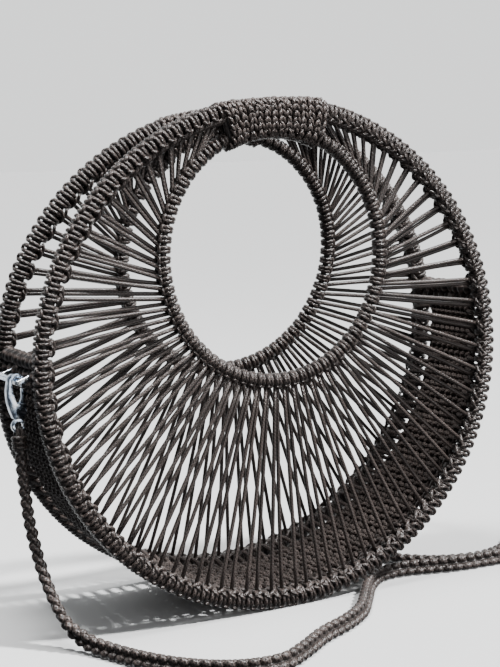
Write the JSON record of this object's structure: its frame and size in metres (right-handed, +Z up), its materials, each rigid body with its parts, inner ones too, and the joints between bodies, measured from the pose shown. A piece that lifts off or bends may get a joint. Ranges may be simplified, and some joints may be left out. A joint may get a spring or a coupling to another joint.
{
  "type": "macrame bag",
  "caption": "Round macrame handbag: knotted hoops laced to smaller handle hoops, joined by a knotted gusset, with a braided shoulder strap on sprung clasps.",
  "frame": {"origin": "middle of the footprint, on the surface the two hoops stand on", "axes": "+X across the bag's width, +Y from the front face to the back face, +Z up"},
  "size_m": [0.4134, 0.2325, 0.301],
  "materials": {
    "knotted_cord": "braided waxed cord in tight knots, satin",
    "laced_cord": "braided waxed cord drawn straight, satin",
    "strap_cord": "braided waxed cord in square knots, satin",
    "chrome": "polished, lightly worn"
  },
  "bodies": {
    "bag": {"hoop_front": "knotted_cord", "hoop_back": "knotted_cord", "handle_hoop_front": "knotted_cord", "handle_hoop_back": "knotted_cord", "lacing_front": "laced_cord", "lacing_back": "laced_cord", "cuff_front": "knotted_cord", "cuff_back": "knotted_cord", "gusset": "knotted_cord", "strap": "strap_cord", "strap_loop_left": "chrome", "clasp_body_left": "chrome", "clasp_eye_left": "chrome", "strap_loop_right": "chrome", "clasp_body_right": "chrome", "clasp_eye_right": "chrome"},
    "lever_left": {"clasp_lever_left": "chrome"},
    "lever_right": {"clasp_lever_right": "chrome"}
  },
  "joints": [
    {"name": "lever_left_open", "type": "hinge", "parent": "bag", "child": "lever_left", "pos_m": [-0.15131, -0.0265, 0.13461], "axis": [0, -1, 0], "range_deg": [0, 25], "stiffness_Nm_per_rad": 0.01, "springref_deg": -11.46},
    {"name": "lever_right_open", "type": "hinge", "parent": "bag", "child": "lever_right", "pos_m": [0.15131, 0.004, 0.15091], "axis": [0, 1, 0], "range_deg": [0, 25], "stiffness_Nm_per_rad": 0.01, "springref_deg": -11.46}
  ]
}
